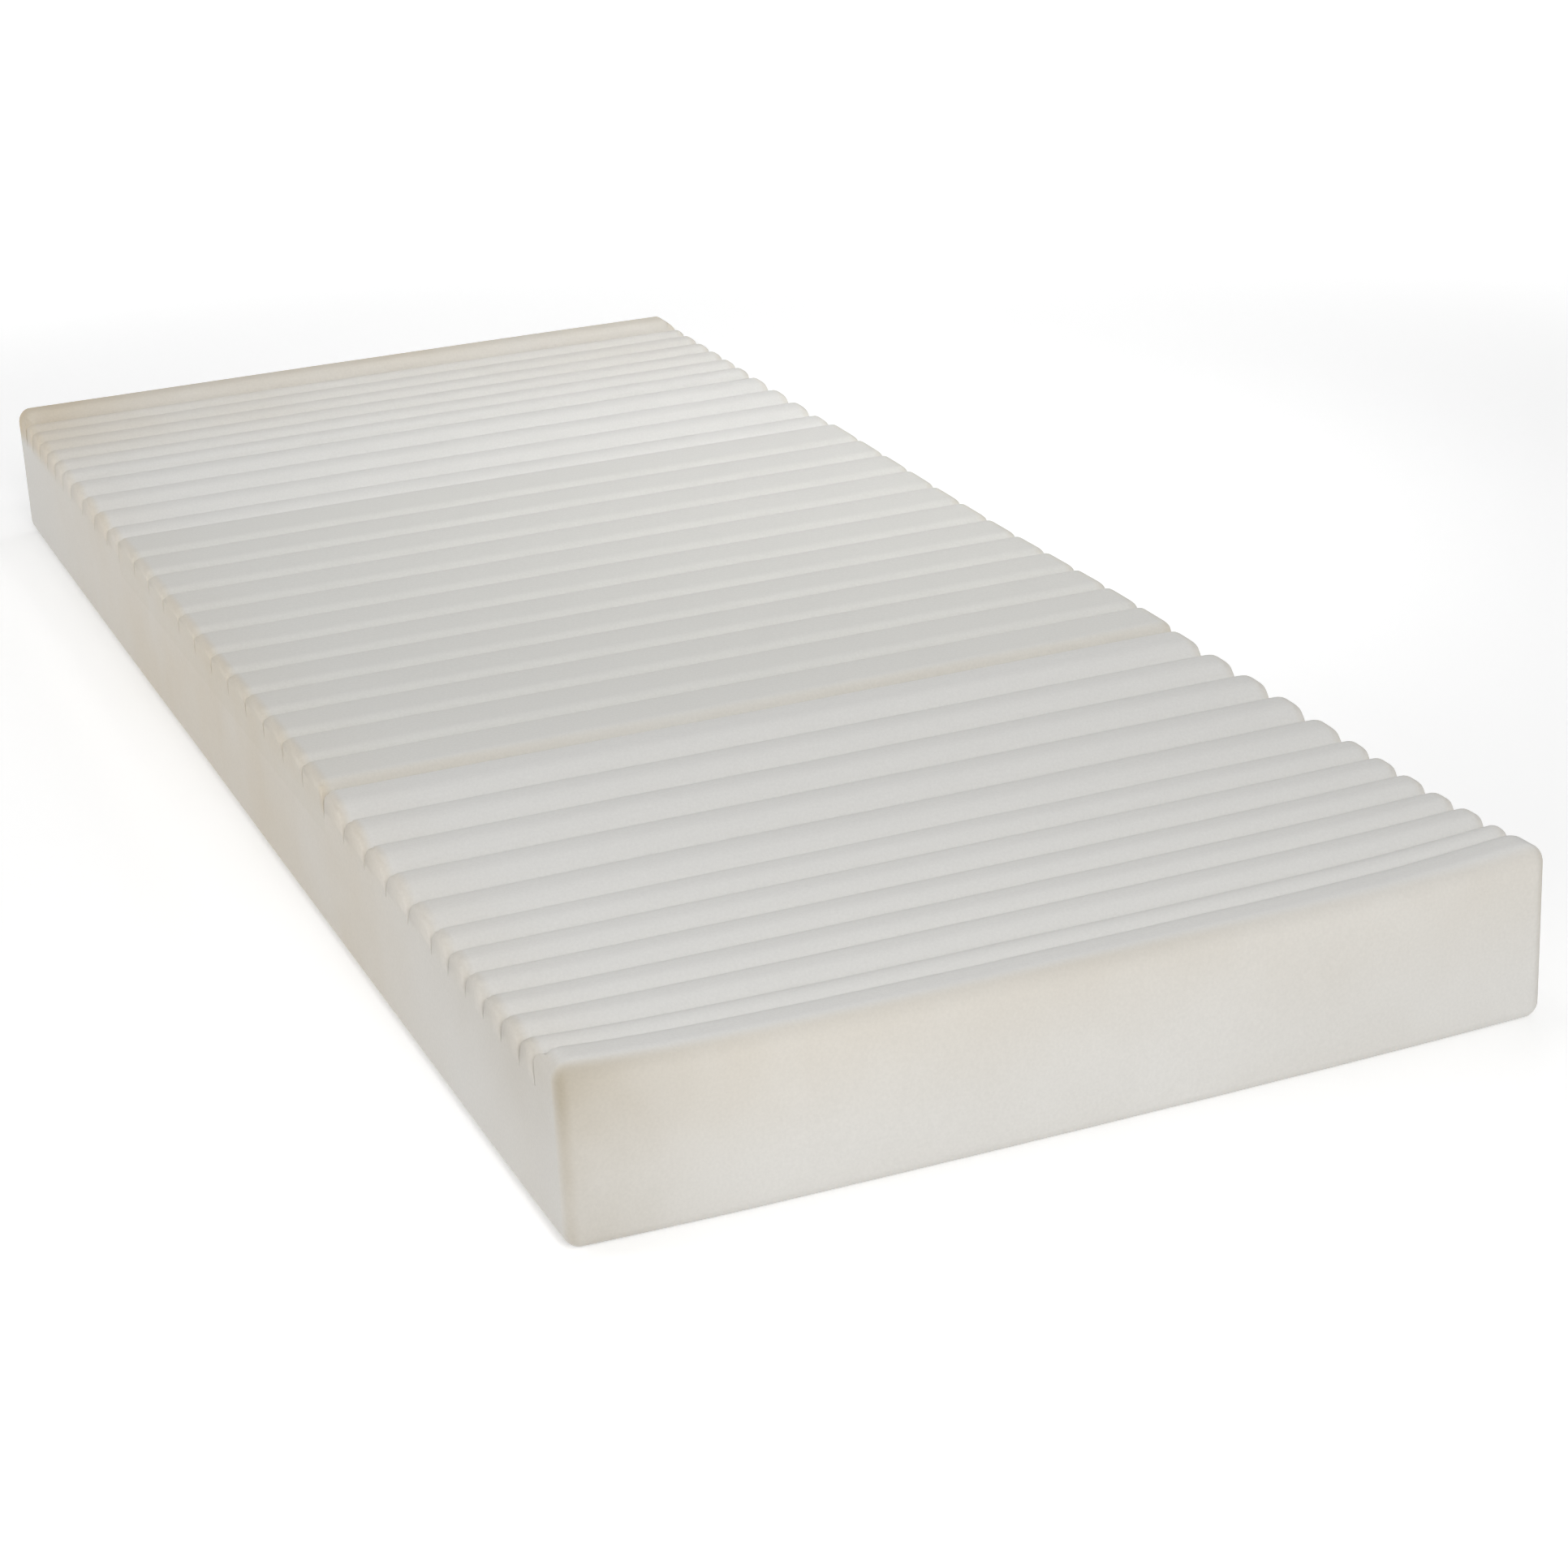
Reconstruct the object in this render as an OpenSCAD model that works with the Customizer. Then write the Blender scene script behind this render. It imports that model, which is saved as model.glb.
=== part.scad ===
// Bare core of a zoned memory foam mattress: a support core with seven profiled
// comfort panels glued on top of it, edge to edge.
// X runs across the bed, Y from the foot end (-Y) to the head end (+Y), and Z up.
// The origin is the middle of the underside.

/* [Overall size] */
// Width across the bed
bed_w = 800; // [600:10:1800]
// Length from foot to head
bed_l = 1900; // [1500:10:2300]
// Thickness of the support core
core_h = 100; // [60:1:200]
// Thickness of the comfort panels
comfort_h = 50; // [42:1:90]
// Radius of the edges round the top
top_r = 17; // [4:1:24]
// Radius of the edges round the underside
low_r = 14; // [4:1:24]
// Radius of the upright corners
corner_r = 12; // [4:1:40]

/* [Cuts between the ribs] */
// Width of each cut
cut_w = 2.5; // [1:0.5:6]
// Depth of the cuts between the round ribs, from the top of the end strips
round_cut_d = 36; // [30:1:40]
// Depth of the cuts between the flat ribs, from the top of the end strips
flat_cut_d = 30; // [20:1:40]
// How far the round crests lie below the end strips
round_drop = 7; // [0:0.5:9]
// How far the flat ribs lie below the end strips
flat_drop = 4; // [0:0.5:9]

/* [End strips] */
// Width of the uncut strip at each end
strip_w = 50; // [44:1:90]

/* [Narrow round ribs, at head and foot] */
// Pitch of the rib next to each end strip
first_pitch = 34; // [26:1:60]
// Pitch of the other narrow ribs
narrow_pitch = 42; // [30:1:56]
// Number of narrow ribs after the first one
narrow_n = 5; // [2:1:6]
// Crest radius of the narrow ribs
narrow_r = 19; // [5:1:20]

/* [Wide round ribs, at shoulders and calves] */
// Pitch of the wide ribs
wide_pitch = 60; // [44:1:75]
// Number of wide ribs at the calves
calf_n = 5; // [2:1:5]
// Number of wide ribs at the shoulders
shoulder_n = 4; // [2:1:5]
// Crest radius of the wide ribs
wide_r = 24; // [5:1:26]

/* [Flat ribs, from waist to thighs] */
// Pitch of the broad flat rib that ends this zone at the shoulder side
broad_pitch = 72; // [50:1:90]
// Number of equal flat ribs after it
flat_n = 11; // [6:1:12]
// Shoulder radius of the flat ribs
flat_r = 9; // [2:1:20]

/* [Hidden] */
$fn = 48;
bed_h = core_h + comfort_h;
// Least flat left on a crest, which keeps its two rounds apart
crest_flat = 1;
// Extra length of a cutting block past the foam
past = 10;

// Pitches of each zone, from the foot end towards the head end
foot_pitches = [first_pitch, for (i = [1 : narrow_n]) narrow_pitch];
calf_pitches = [for (i = [1 : calf_n]) wide_pitch];
shoulder_pitches = [for (i = [1 : shoulder_n]) wide_pitch];
head_pitches = [for (i = [1 : narrow_n]) narrow_pitch, first_pitch];

// Borders between the zones, each on the middle of a cut
foot_y = strip_w - bed_l / 2;
calf_y = foot_y + total(foot_pitches);
middle_y = calf_y + total(calf_pitches);
head_end_y = bed_l / 2 - strip_w;
head_y = head_end_y - total(head_pitches);
shoulder_y = head_y - total(shoulder_pitches);

// The equal flat ribs share what the other zones leave
flat_pitch = (shoulder_y - middle_y - broad_pitch) / flat_n;
middle_pitches = [for (i = [1 : flat_n]) flat_pitch, broad_pitch];

function total(list, upto) =
    let (n = is_undef(upto) ? len(list) : upto)
    n == 0 ? 0 : list[n - 1] + total(list, n - 1);

// Rectangle standing on y = 0 with round corners, of one radius below and one above
module round_rect(w, h, below_r, above_r) {
    half_h = h / 2;
    translate([-w / 2, below_r])
        square([w, h - below_r - above_r]);
    translate([below_r - w / 2, 0])
        square([w - 2 * below_r, half_h]);
    translate([above_r - w / 2, half_h])
        square([w - 2 * above_r, half_h]);
    for (side = [-1, 1]) {
        translate([side * (w / 2 - below_r), below_r])
            circle(below_r);
        translate([side * (w / 2 - above_r), h - above_r])
            circle(above_r);
    }
}

// Extrudes a (y, z) outline across the bed
module across(w) {
    rotate([90, 0, 90])
        linear_extrude(height = w, center = true)
            children();
}

// Outer shape of the whole block, round on every edge and corner
module block() {
    intersection() {
        linear_extrude(height = bed_h)
            translate([0, -bed_l / 2])
                round_rect(bed_w, bed_l, corner_r, corner_r);
        across(bed_w)
            round_rect(bed_l, bed_h, low_r, top_r);
        rotate([90, 0, 0])
            linear_extrude(height = bed_l, center = true)
                round_rect(bed_w, bed_h, low_r, top_r);
    }
}

// One rib in section, standing on y = 0 with its left wall at x = 0
module rib(w, h, crest_r) {
    r = min(crest_r, (w - crest_flat) / 2);
    intersection() {
        square([w, h]);
        union() {
            square([w, h - r]);
            translate([r, 0])
                square([w - 2 * r, h]);
            for (x = [r, w - r])
                translate([x, h - r])
                    circle(r);
        }
    }
}

// Section of a panel: a solid back and one rib for each pitch in the list
module panel_section(pitches, cut_d, crest_r, drop) {
    square([total(pitches), comfort_h - cut_d]);
    for (i = [0 : len(pitches) - 1])
        translate([total(pitches, i) + cut_w / 2, 0])
            rib(pitches[i] - cut_w, comfort_h - drop, crest_r);
}

// A ribbed panel lying on the core from start_y towards the head
module panel(start_y, pitches, cut_d, crest_r, drop) {
    intersection() {
        block();
        translate([0, start_y, core_h])
            across(bed_w + past)
                panel_section(pitches, cut_d, crest_r, drop);
    }
}

// The uncut strip at the foot end; its inner shoulder matches the first rib
module strip() {
    intersection() {
        block();
        translate([0, -bed_l / 2, core_h])
            across(bed_w + past)
                union() {
                    square([strip_w, comfort_h - round_cut_d]);
                    square([strip_w - cut_w / 2 - narrow_r, comfort_h]);
                    square([strip_w - cut_w / 2, comfort_h - narrow_r]);
                    translate([strip_w - cut_w / 2 - narrow_r, comfort_h - narrow_r])
                        circle(narrow_r);
                }
    }
}

module support_core() {
    color("#E6E3DC")
        intersection() {
            block();
            translate([-bed_w / 2 - past, -bed_l / 2 - past, -past])
                cube([bed_w + 2 * past, bed_l + 2 * past, core_h + past]);
        }
}

module foot_strip() {
    color("#DDD2C0")
        strip();
}

module head_strip() {
    color("#DCD8C6")
        rotate([0, 0, 180])
            strip();
}

module foot_panel() {
    color("#DEDEDB")
        panel(foot_y, foot_pitches, round_cut_d, narrow_r, round_drop);
}

module calf_panel() {
    color("#DCDDDB")
        panel(calf_y, calf_pitches, round_cut_d, wide_r, round_drop);
}

module middle_panel() {
    color("#D2D1CD")
        panel(middle_y, middle_pitches, flat_cut_d, flat_r, flat_drop);
}

module shoulder_panel() {
    color("#DBDAD6")
        panel(shoulder_y, shoulder_pitches, round_cut_d, wide_r, round_drop);
}

module head_panel() {
    color("#DCD9CE")
        panel(head_y, head_pitches, round_cut_d, narrow_r, round_drop);
}

support_core();
foot_strip();
foot_panel();
calf_panel();
middle_panel();
shoulder_panel();
head_panel();
head_strip();
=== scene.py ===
import math

import bmesh
import bpy
from mathutils import Matrix, Vector, noise


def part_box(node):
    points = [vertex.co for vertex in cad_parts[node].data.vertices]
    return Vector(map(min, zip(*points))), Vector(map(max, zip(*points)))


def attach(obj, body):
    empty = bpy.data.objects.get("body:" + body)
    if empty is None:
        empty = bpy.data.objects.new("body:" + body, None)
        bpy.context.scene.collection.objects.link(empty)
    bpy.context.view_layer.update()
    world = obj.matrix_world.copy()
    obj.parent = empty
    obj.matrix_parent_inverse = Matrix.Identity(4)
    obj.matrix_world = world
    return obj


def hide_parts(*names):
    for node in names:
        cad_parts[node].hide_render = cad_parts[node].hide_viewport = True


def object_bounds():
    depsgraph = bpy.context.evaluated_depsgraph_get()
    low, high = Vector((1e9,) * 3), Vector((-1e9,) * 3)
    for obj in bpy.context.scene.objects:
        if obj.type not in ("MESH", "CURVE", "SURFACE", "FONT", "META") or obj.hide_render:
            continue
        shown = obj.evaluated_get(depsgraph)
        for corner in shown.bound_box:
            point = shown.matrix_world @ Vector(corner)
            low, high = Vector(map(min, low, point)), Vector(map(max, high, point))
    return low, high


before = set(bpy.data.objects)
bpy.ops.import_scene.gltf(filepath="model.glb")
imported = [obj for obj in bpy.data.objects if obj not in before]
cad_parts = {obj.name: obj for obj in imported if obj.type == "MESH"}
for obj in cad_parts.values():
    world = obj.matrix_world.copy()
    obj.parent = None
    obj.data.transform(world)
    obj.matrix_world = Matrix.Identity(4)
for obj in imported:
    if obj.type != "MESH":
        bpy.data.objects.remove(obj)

cadLow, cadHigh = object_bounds()
halfWidth = cadHigh.x
halfLength = cadHigh.y
blockTop = cadHigh.z
xAxis, yAxis, zAxis = 0, 1, 2

block = {
    "cornerRadius": 0.012,   # upright corners
    "lowRadius": 0.014,      # edge round the underside
    "endCrown": 0.003,       # how far the middle of each end stands out past its corners
    "cornerLift": 0.003,     # how far the underside rises at the corners
    "wave": 0.0006,          # unevenness of cut foam
    "slowWaves": (3.1, 3.1, 4.0),    # scale of the unevenness along x, y and z
    "quickWaves": (14.0, 14.0, 9.0),
    "quickShare": 0.35,
    # how far the top has settled, from the foot end to the head end
    "settled": [(-1.0, 0.0), (-0.93, 0.001), (-0.82, 0.0045), (-0.53, 0.001), (-0.29, 0.0),
                (0.05, 0.0045), (0.37, 0.003), (0.58, 0.001), (0.84, 0.0), (1.0, 0.0)],
    # how far the foot end droops between its two corners, as an edge people sit on does
    "droop": [(-1.0, 0.0095), (-0.945, 0.0098), (-0.87, 0.0045), (-0.80, 0.0025),
              (-0.70, 0.0), (1.0, 0.0)],
}

# how finely the meshes are cut
mesh = {
    "arcSteps": 8,            # faces round each crest
    "sliceStep": 0.024,       # slices across the bed, away from its sides
    "coreStep": 0.036,        # slices along the core
    "sharpAngle": 52,         # edges sharper than this are shaded sharp, in degrees
    "mergeDistance": 1e-6,
    # distances of the slices from a side or an end of the bed
    "edgeSteps": [0.0015, 0.003, 0.0045, 0.006, 0.008, 0.010, 0.012,
                  0.0145, 0.017, 0.022, 0.032, 0.048, 0.070],
    "stripSteps": 9,          # how many of these the outer edge of an end strip gets as well
    # heights of the level slices of the core
    "coreLevels": [0.003, 0.006, 0.009, 0.012, 0.018, 0.032, 0.048, 0.066, 0.084],
    "floorGap": 0.002,        # no level slice lies closer than this above the floor between ribs
    "crestGap": 0.0005,       # or than this below a crest
    "levelSlack": 0.0001,     # the floor beside a strip is a level slice too, within this
}


def cut(bm, axis, place, faces=None):
    # one loop cut straight across, at a place on x, y or z
    point, normal = Vector(), Vector()
    point[axis], normal[axis] = place, 1.0
    picked = bm.faces[:] if faces is None else faces
    parts = [v for f in picked for v in f.verts] + [e for f in picked for e in f.edges] + picked
    bmesh.ops.bisect_plane(bm, geom=list(dict.fromkeys(parts)), dist=mesh["mergeDistance"],
                           plane_co=point, plane_no=normal)


def cutLevels(bm, low, high):
    # a level cut through every vertex between two heights, so that the quads follow the arcs
    for level in sorted({round(v.co.z, 5) for v in bm.verts if low < v.co.z < high}):
        cut(bm, zAxis, level)


def facesBelow(bm, level):
    return [f for f in bm.faces if f.calc_center_median().z < level]


def facesAbove(bm, level):
    return [f for f in bm.faces if f.calc_center_median().z > level]


def spread(half, step):
    # places of the cuts from one side to the other, close together near both edges
    inner = half - mesh["edgeSteps"][-1]
    count = max(2, round(2 * inner / step))
    middle = [-inner + 2 * inner * i / count for i in range(1, count)]
    edge = [half - s for s in mesh["edgeSteps"]]
    return sorted(middle + edge + [-e for e in edge])


def smoothStep(t):
    t = min(1.0, max(0.0, t))
    return t * t * (3 - 2 * t)


def roundOff(co, crest, edge):
    # turns the square edges of the block into round ones, as a soft block of foam has
    big, low = block["cornerRadius"], block["lowRadius"]
    inset = min(halfWidth - abs(co.x), halfLength - abs(co.y))
    reach = max(edge, low, big)
    if inset >= reach:
        return
    away = Vector((math.copysign(max(0.0, reach - halfWidth + abs(co.x)), co.x),
                   math.copysign(max(0.0, reach - halfLength + abs(co.y)), co.y))).normalized()
    inX = max(-halfWidth + big, min(halfWidth - big, co.x))
    inY = max(-halfLength + big, min(halfLength - big, co.y))
    corner = Vector((co.x - inX, co.y - inY))
    if abs(corner.x) > 1e-9 and abs(corner.y) > 1e-9:
        corner *= max(abs(corner.x), abs(corner.y)) / corner.length
        co.x, co.y = inX + corner.x, inY + corner.y
    for radius, up, sign in ((edge, co.z - crest + edge, 1), (low, low - co.z, -1)):
        side = radius - inset
        if side > 0 and up > 0:
            pull = max(side, up) / math.hypot(side, up)
            co.z += sign * up * (pull - 1)
            co.x -= away.x * side * (1 - pull)
            co.y -= away.y * side * (1 - pull)


def tableAt(table, place):
    # the sag at a place, eased from one row of the table to the next
    for (lowPlace, lowSag), (highPlace, highSag) in zip(table, table[1:]):
        if place <= highPlace:
            along = (place - lowPlace) / (highPlace - lowPlace)
            return lowSag + (highSag - lowSag) * smoothStep(along)
    return table[-1][1]


def waveAt(co, scales, shift=0):
    return noise.noise(Vector((co.x * scales[0] + shift, co.y * scales[1], co.z * scales[2])))


def settle(co):
    # the whole block is slightly crowned and uneven, and every piece follows the same curve
    acrossBed, alongBed = co.x / halfWidth, co.y / halfLength
    height = co.z / blockTop
    # only the top third settles
    high = smoothStep(height * 3 - 2)
    # odd powers keep the side, and high ones keep the change close to the ends
    co.y -= block["endCrown"] * acrossBed ** 2 * alongBed ** 9
    co.z += block["cornerLift"] * acrossBed ** 4 * alongBed ** 16 * (1 - height)
    sag = tableAt(block["settled"], alongBed) + tableAt(block["droop"], alongBed) * (1 - acrossBed ** 4)
    slow = waveAt(co, block["slowWaves"])
    quick = waveAt(co, block["quickWaves"], 7)
    co.z += (block["wave"] * (slow + block["quickShare"] * quick - 1) - sag) * high
    co.x -= acrossBed ** 5 * block["wave"] * (1 + slow)
    co.y -= alongBed ** 9 * block["wave"] * (1 + quick)


def finishPiece(bm, spec, crest):
    # rounds and settles the mesh, turns it into an object and says what it stands for
    for v in bm.verts:
        roundOff(v.co, crest, spec["edge"])
    for v in bm.verts:
        settle(v.co)
    bmesh.ops.remove_doubles(bm, verts=bm.verts, dist=mesh["mergeDistance"])
    bmesh.ops.recalc_face_normals(bm, faces=bm.faces)
    name = spec["node"] + "_foam"
    data = bpy.data.meshes.new(name)
    bm.to_mesh(data)
    bm.free()
    data.shade_smooth()
    data.set_sharp_from_angle(angle=math.radians(mesh["sharpAngle"]))
    data.materials.append(foams[spec["slot"]])
    piece = bpy.data.objects.new(name, data)
    bpy.context.scene.collection.objects.link(piece)
    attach(piece, "root")
    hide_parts(spec["node"])


def extrudeAcross(bm):
    # pulls a section drawn at one long side across to the other, and cuts it into slices
    made = bmesh.ops.extrude_face_region(bm, geom=bm.faces[:], use_keep_orig=True)
    moved = [v for v in made["geom"] if isinstance(v, bmesh.types.BMVert)]
    bmesh.ops.translate(bm, verts=moved, vec=(2 * halfWidth, 0, 0))
    for place in spread(halfWidth, mesh["sliceStep"]):
        cut(bm, xAxis, place)


def drawSection(bm, corners, rounded):
    # the outline of a section as one face, with the listed corners rounded, each by its own radius
    verts = [bm.verts.new((-halfWidth, y, z)) for y, z in corners]
    bm.faces.new(verts)
    for radius in sorted(set(rounded.values())):
        picked = [verts[i] for i in rounded if rounded[i] == radius]
        bmesh.ops.bevel(bm, geom=picked, offset=radius, offset_type="OFFSET", segments=mesh["arcSteps"],
                        profile=0.5, affect="VERTICES", material=-1, clamp_overlap=True)


def flareEnds(co, spec, ribs, floor, crest):
    # rounds the ends of a rib inwards, so that each cut opens a little wider at the sides of the bed
    along = (abs(co.x) - halfWidth + spec["flareReach"]) / spec["flareReach"]
    if along <= 0 or co.z <= floor:
        return
    middle, half = min(ribs, key=lambda rib: abs(co.y - rib[0]) - rib[1])
    height = (co.z - floor) / (crest - floor)
    narrowed = spec["flare"] * (1 - math.sqrt(max(0.0, 1 - along * along))) * height
    co.y = middle + (co.y - middle) * (1 - narrowed / half)


def buildPanel(spec):
    low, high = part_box(spec["node"])
    floor = blockTop - spec["cutDepth"]
    crest = blockTop - spec["drop"]
    radius = spec["crest"]
    top, tight = spec["cutWidth"] / 2, spec["cutFloor"] / 2
    corners, rounded, walls, ribs = [(low.y, low.z), (low.y, floor)], {}, [], []
    start = low.y
    for pitch in spec["pitches"]:
        end = start + pitch
        middle = (start + end) / 2
        rounded.update({len(corners) + 1: radius, len(corners) + 2: radius})
        corners += [(start + tight, floor), (start + top, crest),
                    (end - top, crest), (end - tight, floor)]
        walls += [start + tight, middle, end - tight, end]
        ribs.append((middle, pitch / 2))
        start = end
    rounded[len(corners) - 2] = spec.get("lastCrest", radius)
    corners += [(high.y, floor), (high.y, low.z)]
    bm = bmesh.new()
    drawSection(bm, corners, rounded)
    cut(bm, zAxis, floor)
    cut(bm, zAxis, (low.z + floor) / 2)
    cutLevels(bm, floor + mesh["floorGap"], crest - mesh["crestGap"])
    for wall in walls[:-1]:
        cut(bm, yAxis, wall, facesBelow(bm, floor))
    for middle, _ in ribs:
        cut(bm, yAxis, middle, facesAbove(bm, floor))
    extrudeAcross(bm)
    for v in bm.verts:
        flareEnds(v.co, spec, ribs, floor, crest)
    finishPiece(bm, spec, crest)


def buildStrip(spec):
    low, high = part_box(spec["node"])
    side = spec["outer"]
    outer, inner = (low.y, high.y) if side < 0 else (high.y, low.y)
    floor = blockTop - spec["cutDepth"]
    wall = inner + side * spec["cutWidth"] / 2
    shoulderCorner = 4
    corners = [(outer, low.z), (inner, low.z), (inner, floor), (wall, floor),
               (wall, blockTop), (outer, blockTop)]
    bm = bmesh.new()
    drawSection(bm, corners, {shoulderCorner: spec["shoulder"]})
    cutLevels(bm, floor - mesh["levelSlack"], blockTop - mesh["crestGap"])
    cut(bm, zAxis, (low.z + floor) / 2)
    for step in mesh["edgeSteps"][:mesh["stripSteps"]]:
        cut(bm, yAxis, outer - side * step)
    cut(bm, yAxis, wall, facesBelow(bm, floor))
    extrudeAcross(bm)
    finishPiece(bm, spec, blockTop)


def buildCore(spec):
    low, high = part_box(spec["node"])
    bm = bmesh.new()
    bmesh.ops.create_cube(bm, size=1.0)
    bmesh.ops.scale(bm, verts=bm.verts, vec=high - low)
    bmesh.ops.translate(bm, verts=bm.verts, vec=(low + high) / 2)
    for place in spread(halfWidth, mesh["sliceStep"]):
        cut(bm, xAxis, place)
    for place in spread(halfLength, mesh["coreStep"]):
        cut(bm, yAxis, place)
    for level in mesh["coreLevels"]:
        cut(bm, zAxis, level)
    finishPiece(bm, spec, blockTop)


def srgb(code):
    # sRGB hex to linear
    parts = [int(code[i:i + 2], 16) / 255 for i in (1, 3, 5)]
    return [p / 12.92 if p <= 0.04045 else ((p + 0.055) / 1.055) ** 2.4 for p in parts] + [1.0]


def add(tree, kind, links=None, values=None, **settings):
    # a new node, with what feeds its sockets, their fixed values and its own settings
    made = tree.nodes.new(kind)
    for key, value in settings.items():
        setattr(made, key, value)
    for key, value in (values or {}).items():
        made.inputs[key].default_value = value
    for key, source in (links or {}).items():
        tree.links.new(source, made.inputs[key])
    return made


def newMaterial(name):
    material = bpy.data.materials.new(name)
    material.use_nodes = True
    tree = material.node_tree
    tree.nodes.clear()
    return material, tree


# Each patch is an amount and the ramps that bound it: axis, where it is 0, where it is 1, in metres
leftSide = (xAxis, -halfWidth + 0.012, -halfWidth + 0.003)
rightSide = (xAxis, halfWidth - 0.012, halfWidth - 0.003)
footFace = (yAxis, -halfLength + 0.016, -halfLength + 0.006)
headFace = (yAxis, halfLength - 0.016, halfLength - 0.006)
topFace = (zAxis, 0.11, 0.13)
# polyurethane foam yellows where light and air have reached it
aged = {
    "colour": "#C4B08C",
    "patches": [
        (0.12, [footFace, (zAxis, 0.03, blockTop)]),
        (0.16, [footFace, (zAxis, 0.02, blockTop), (xAxis, 0.22, -halfWidth)]),
        (0.10, [leftSide]),
        (0.22, [leftSide, (yAxis, -0.72, -0.10), (yAxis, 0.95, 0.35)]),
        (0.12, [leftSide, (yAxis, -0.62, -0.48), (yAxis, -0.30, -0.42)]),
        (0.14, [rightSide]),
        (0.16, [headFace]),
        (0.28, [(yAxis, halfLength - 0.075, halfLength - 0.004), topFace]),
        (0.10, [(yAxis, halfLength - 0.36, halfLength - 0.06), topFace]),
        (0.20, [(yAxis, halfLength - 0.30, halfLength - 0.03), (xAxis, -0.05, -halfWidth), topFace]),
        (0.06, [(xAxis, -halfWidth + 0.10, -halfWidth), topFace]),
    ],
}
# and greys a little where hands lift the bed
# painted shade: greys the whole foot face a little, more towards its left corner and its top, and the
# left side towards the foot and its top, as the light falls off there
paintedShade = {
    "colour": "#A89F8E",
    "patches": [
        (0.19, [footFace]),
        (0.32, [footFace, (xAxis, -halfWidth + 0.14, -halfWidth)]),
        (0.28, [footFace, (xAxis, -halfWidth + 0.18, -halfWidth), (zAxis, 0.03, 0.12)]),
        (0.06, [leftSide, (yAxis, 0.20, -0.20)]),
        (0.18, [leftSide, (zAxis, 0.03, 0.12), (yAxis, -0.55, -0.85)]),
    ],
}
# the front wall of the first flat rib shows a warmer cut
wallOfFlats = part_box("middle_panel")[0].y
warmWall = (0.15, [(yAxis, wallOfFlats + 0.012, wallOfFlats + 0.004), (zAxis, 0.115, 0.125)])

foamLook = {
    "cloudScale": 5.0,       # stains about 200 mm across
    "cloudRange": {"From Min": 0.3, "From Max": 0.7, "To Min": 0.65, "To Max": 1.35},
    # open cells of about 1 mm are too fine to show, so they are drawn at 2.4 mm
    "cellScale": 420.0,
    "cellRange": {"From Min": 0.3, "From Max": 0.7, "To Min": 0.975, "To Max": 1.025},
    "bumpStrength": 0.12,
    "bumpDepth": 0.0006,
}


def patchAmount(tree, axes, uneven, patches):
    # adds up all the patches, each one the product of its ramps, and makes the sum uneven
    total = None
    for amount, ramps in patches:
        patch = uneven
        for axis, nothing, full in ramps:
            ramp = add(tree, "ShaderNodeMapRange", {"Value": axes[axis]},
                       interpolation_type="SMOOTHSTEP",
                       values={"From Min": nothing, "From Max": full}).outputs["Result"]
            patch = add(tree, "ShaderNodeMath", {0: patch, 1: ramp}, operation="MULTIPLY").outputs[0]
        patch = add(tree, "ShaderNodeMath", {0: patch}, operation="MULTIPLY",
                    values={1: amount}).outputs[0]
        if total is None:
            total = patch
        else:
            total = add(tree, "ShaderNodeMath", {0: total, 1: patch}, operation="ADD").outputs[0]
    return add(tree, "ShaderNodeClamp", {"Value": total}).outputs["Result"]


def foamMaterial(name, fresh, extraPatches=()):
    # matt open-cell foam: no shine, a faint sheen at grazing angles, fine cells, slow stains, and
    # painted shade on the foot face and left side
    material, tree = newMaterial(name)
    place = add(tree, "ShaderNodeTexCoord").outputs["Object"]
    axes = add(tree, "ShaderNodeSeparateXYZ", {0: place}).outputs
    cloud = add(tree, "ShaderNodeTexNoise", {"Vector": place},
                values={"Scale": foamLook["cloudScale"], "Detail": 3.0, "Roughness": 0.55})
    uneven = add(tree, "ShaderNodeMapRange", {"Value": cloud.outputs["Fac"]},
                 values=foamLook["cloudRange"]).outputs["Result"]
    yellowed = patchAmount(tree, axes, uneven, aged["patches"] + list(extraPatches))
    paintedShadeAmount = patchAmount(tree, axes, uneven, paintedShade["patches"])
    tint = add(tree, "ShaderNodeMix", {0: yellowed}, data_type="RGBA",
               values={6: srgb(fresh), 7: srgb(aged["colour"])})
    # mixes the painted shade over the yellowed foam colour
    tint = add(tree, "ShaderNodeMix", {0: paintedShadeAmount, 6: tint.outputs[2]}, data_type="RGBA",
               values={7: srgb(paintedShade["colour"])})
    cells = add(tree, "ShaderNodeTexNoise", {"Vector": place},
                values={"Scale": foamLook["cellScale"], "Detail": 2.0, "Roughness": 0.6})
    speck = add(tree, "ShaderNodeMapRange", {"Value": cells.outputs["Fac"]},
                values=foamLook["cellRange"]).outputs["Result"]
    shade = add(tree, "ShaderNodeVectorMath", {0: tint.outputs[2], "Scale": speck}, operation="SCALE")
    bump = add(tree, "ShaderNodeBump", {"Height": cells.outputs["Fac"]},
               values={"Strength": foamLook["bumpStrength"], "Distance": foamLook["bumpDepth"]})
    shader = add(tree, "ShaderNodeBsdfPrincipled",
                 {"Base Color": shade.outputs[0], "Normal": bump.outputs["Normal"]},
                 values={"Roughness": 0.95, "Specular IOR Level": 0.2,
                         "Sheen Weight": 0.06, "Sheen Roughness": 0.5})
    add(tree, "ShaderNodeOutputMaterial", {"Surface": shader.outputs["BSDF"]})
    return material


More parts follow.
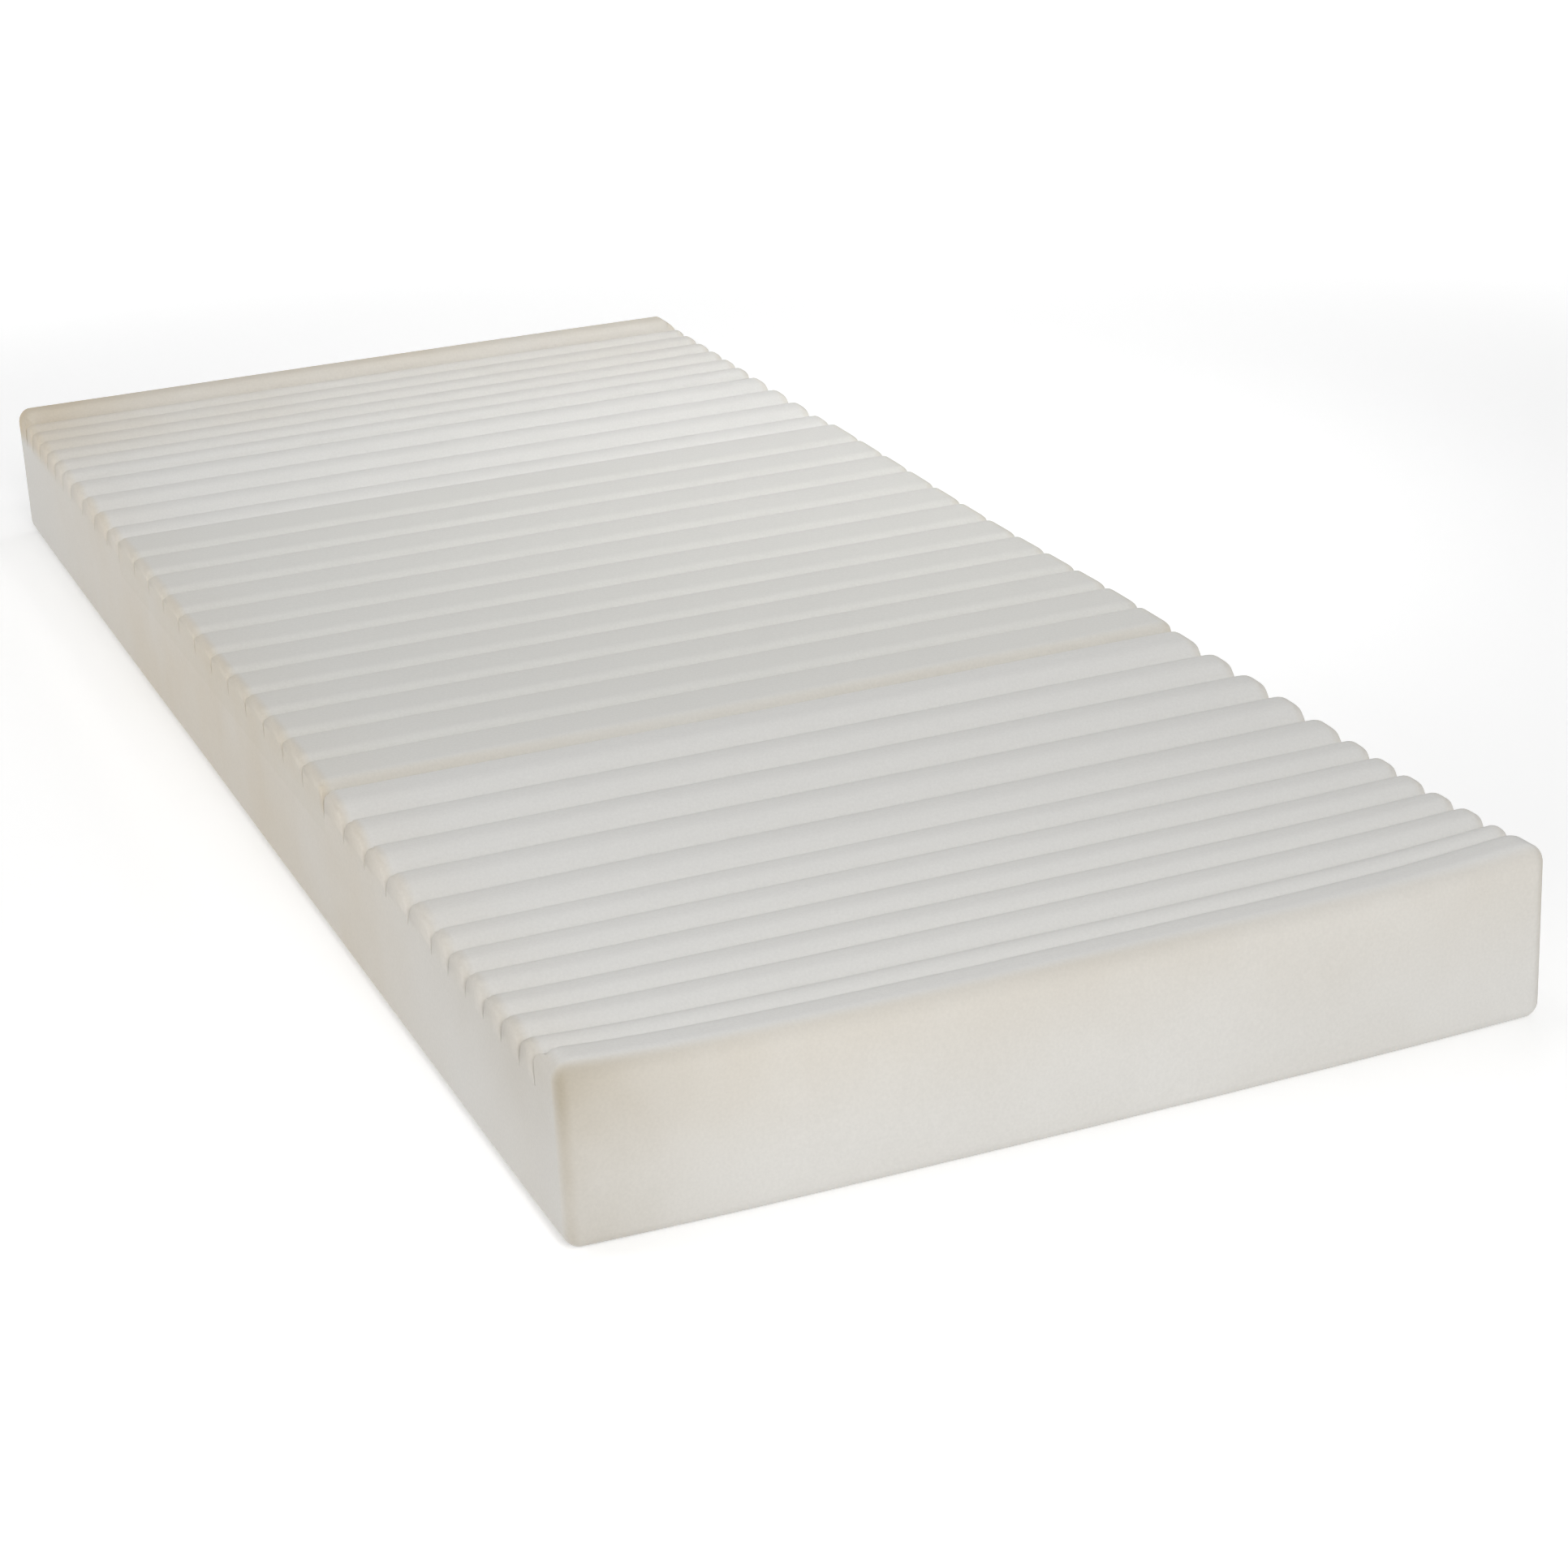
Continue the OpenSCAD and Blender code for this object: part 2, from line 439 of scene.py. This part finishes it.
paleGrey = "#D7D6D3"
foams = {
    # firm foam sawn from a block: even and pale
    "support_foam": foamMaterial("polyurethane_foam_block_cut", paleGrey),
    # slow foam sawn from a block: the same pale grey, smooth on top
    "strip_foam": foamMaterial("viscoelastic_foam_block_cut", paleGrey),
    # slow foam cut on a contour saw: the pale grey rolls over soft rounds
    "round_rib_foam": foamMaterial("viscoelastic_foam_contour_cut_round", paleGrey),
    # the same with flat crests, a shade warmer
    "flat_rib_foam": foamMaterial("viscoelastic_foam_contour_cut_flat", "#D4D3CF", [warmWall]),
}

supportCore = {"node": "support_core", "slot": "support_foam", "edge": 0.017}
buildCore(supportCore)
print("core built")

footStrip = {"node": "foot_strip", "slot": "strip_foam", "outer": -1,
             "shoulder": 0.019, "edge": 0.017, "cutWidth": 0.0030, "cutDepth": 0.036}
headStrip = {**footStrip, "node": "head_strip", "outer": 1}
for strip in (footStrip, headStrip):
    buildStrip(strip)
print("end strips built")

# cuts between round ribs: how far the crests lie below the strips, the cut's depth, its width at the
# top and at its floor, the round at the ends of each rib, how much wider the cut gets there on each
# side, and over what length
roundCuts = {"slot": "round_rib_foam", "drop": 0.007, "cutDepth": 0.036, "cutWidth": 0.0030,
             "cutFloor": 0.0005, "edge": 0.0065, "flare": 0.0085, "flareReach": 0.014}
flatCuts = {"slot": "flat_rib_foam", "drop": 0.004, "cutDepth": 0.030, "cutWidth": 0.0026,
            "cutFloor": 0.0005, "edge": 0.0065, "flare": 0.0045, "flareReach": 0.014}
footPanel = {**roundCuts, "node": "foot_panel", "pitches": [0.034] + [0.042] * 5, "crest": 0.019}
# the last crest is tighter, so it hides most of the wall behind it
calfPanel = {**roundCuts, "node": "calf_panel", "pitches": [0.060] * 5, "crest": 0.024,
             "lastCrest": 0.013}
middlePanel = {**flatCuts, "node": "middle_panel", "pitches": [0.700 / 11] * 11 + [0.072],
               "crest": 0.012}
shoulderPanel = {**roundCuts, "node": "shoulder_panel", "pitches": [0.060] * 4, "crest": 0.024}
headPanel = {**roundCuts, "node": "head_panel", "pitches": [0.042] * 5 + [0.034], "crest": 0.019}
for panel in (footPanel, calfPanel, middlePanel, shoulderPanel, headPanel):
    buildPanel(panel)
print("ribbed panels built")

# the sweep is lit by itself past the bed, so its far part stays as white as the near one
sweep = {"colour": "#F4F4F4", "halfSize": 40.0,
         "glowFrom": 1.3, "glowTo": 3.2, "glowNear": 0.25, "glowFar": 0.85}
floorMaterial, tree = newMaterial("matt_painted_floor")
apart = add(tree, "ShaderNodeVectorMath", {0: add(tree, "ShaderNodeTexCoord").outputs["Object"]},
            operation="LENGTH")
glow = add(tree, "ShaderNodeMapRange", {"Value": apart.outputs["Value"]},
           interpolation_type="SMOOTHSTEP",
           values={"From Min": sweep["glowFrom"], "From Max": sweep["glowTo"],
                   "To Min": sweep["glowNear"], "To Max": sweep["glowFar"]})
shader = add(tree, "ShaderNodeBsdfPrincipled", {"Emission Strength": glow.outputs["Result"]},
             values={"Base Color": srgb(sweep["colour"]), "Roughness": 0.9, "Specular IOR Level": 0.1,
                     "Emission Color": (1, 1, 1, 1)})
add(tree, "ShaderNodeOutputMaterial", {"Surface": shader.outputs["BSDF"]})
bm = bmesh.new()
bmesh.ops.create_grid(bm, x_segments=8, y_segments=8, size=sweep["halfSize"])
floorMesh = bpy.data.meshes.new("floor")
bm.to_mesh(floorMesh)
bm.free()
floorMesh.materials.append(floorMaterial)
floor = bpy.data.objects.new("floor", floorMesh)
bpy.context.scene.collection.objects.link(floor)
print("floor laid")

studio = {
    "surround": 0.30,
    # softbox: place, what it points at, its size, its power, its spread in degrees
    "lamps": {
        "frontSoftbox": ((-0.9, -5.2, 3.1), (0.0, -0.2, 0.1), (1.8, 1.8), 150.0, 180),
        "topSoftbox": ((0.2, 0.3, 4.0), (0.0, 0.0, 0.1), (2.5, 2.5), 26.0, 180),
        "leftSoftbox": ((-4.4, 0.9, 1.8), (0.0, 0.3, 0.1), (1.6, 2.4), 47.0, 180),
        "farSoftbox": ((1.8, 1.6, 2.0), (0.3, 0.7, 0.1), (1.2, 1.2), 3.0, 90),
        "farSpot": ((0.6, -0.9, 2.2), (0.40, 0.62, 0.1), (0.6, 0.6), 1.3, 45),
        "nearSpot": ((-0.7, -2.4, 3.0), (-0.2, -0.82, 0.15), (0.8, 0.8), 0.5, 40),
    },
}
world = bpy.data.worlds.new("studio")
world.use_nodes = True
background = world.node_tree.nodes["Background"]
background.inputs["Color"].default_value = (1.0, 1.0, 1.0, 1.0)
background.inputs["Strength"].default_value = studio["surround"]
bpy.context.scene.world = world
for name, (place, target, size, power, spreadAngle) in studio["lamps"].items():
    lamp = bpy.data.lights.new(name, "AREA")
    lamp.shape = "RECTANGLE"
    lamp.size, lamp.size_y = size
    lamp.energy = power
    lamp.spread = math.radians(spreadAngle)
    lampObject = bpy.data.objects.new(name, lamp)
    aim = (Vector(target) - Vector(place)).to_track_quat("-Z", "Y")
    lampObject.matrix_world = Matrix.Translation(place) @ aim.to_matrix().to_4x4()
    bpy.context.scene.collection.objects.link(lampObject)
bpy.context.scene.view_settings.view_transform = "Standard"

# turn, tilt and roll in degrees, lens and sensor in millimetres
camera = {"turn": 21.7049, "tilt": 22.0834, "roll": -2.7529,
          "place": (-1.01594, -2.94059, 1.19248), "lens": 78.618, "sensor": 36.0}
turn, tilt, roll = (math.radians(camera[k]) for k in ("turn", "tilt", "roll"))
ahead = Vector((math.sin(turn) * math.cos(tilt), math.cos(turn) * math.cos(tilt), -math.sin(tilt)))
level = Vector((math.cos(turn), -math.sin(turn), 0))
above = level.cross(ahead)
right = math.cos(roll) * level + math.sin(roll) * above
up = -math.sin(roll) * level + math.cos(roll) * above
lens = bpy.data.cameras.new("camera")
lens.lens = camera["lens"]
lens.sensor_width = camera["sensor"]
cameraObject = bpy.data.objects.new("camera", lens)
facing = Matrix((right, up, -ahead)).transposed().to_4x4()
cameraObject.matrix_world = Matrix.Translation(camera["place"]) @ facing
bpy.context.scene.collection.objects.link(cameraObject)
bpy.context.scene.camera = cameraObject
print("lights and camera placed")
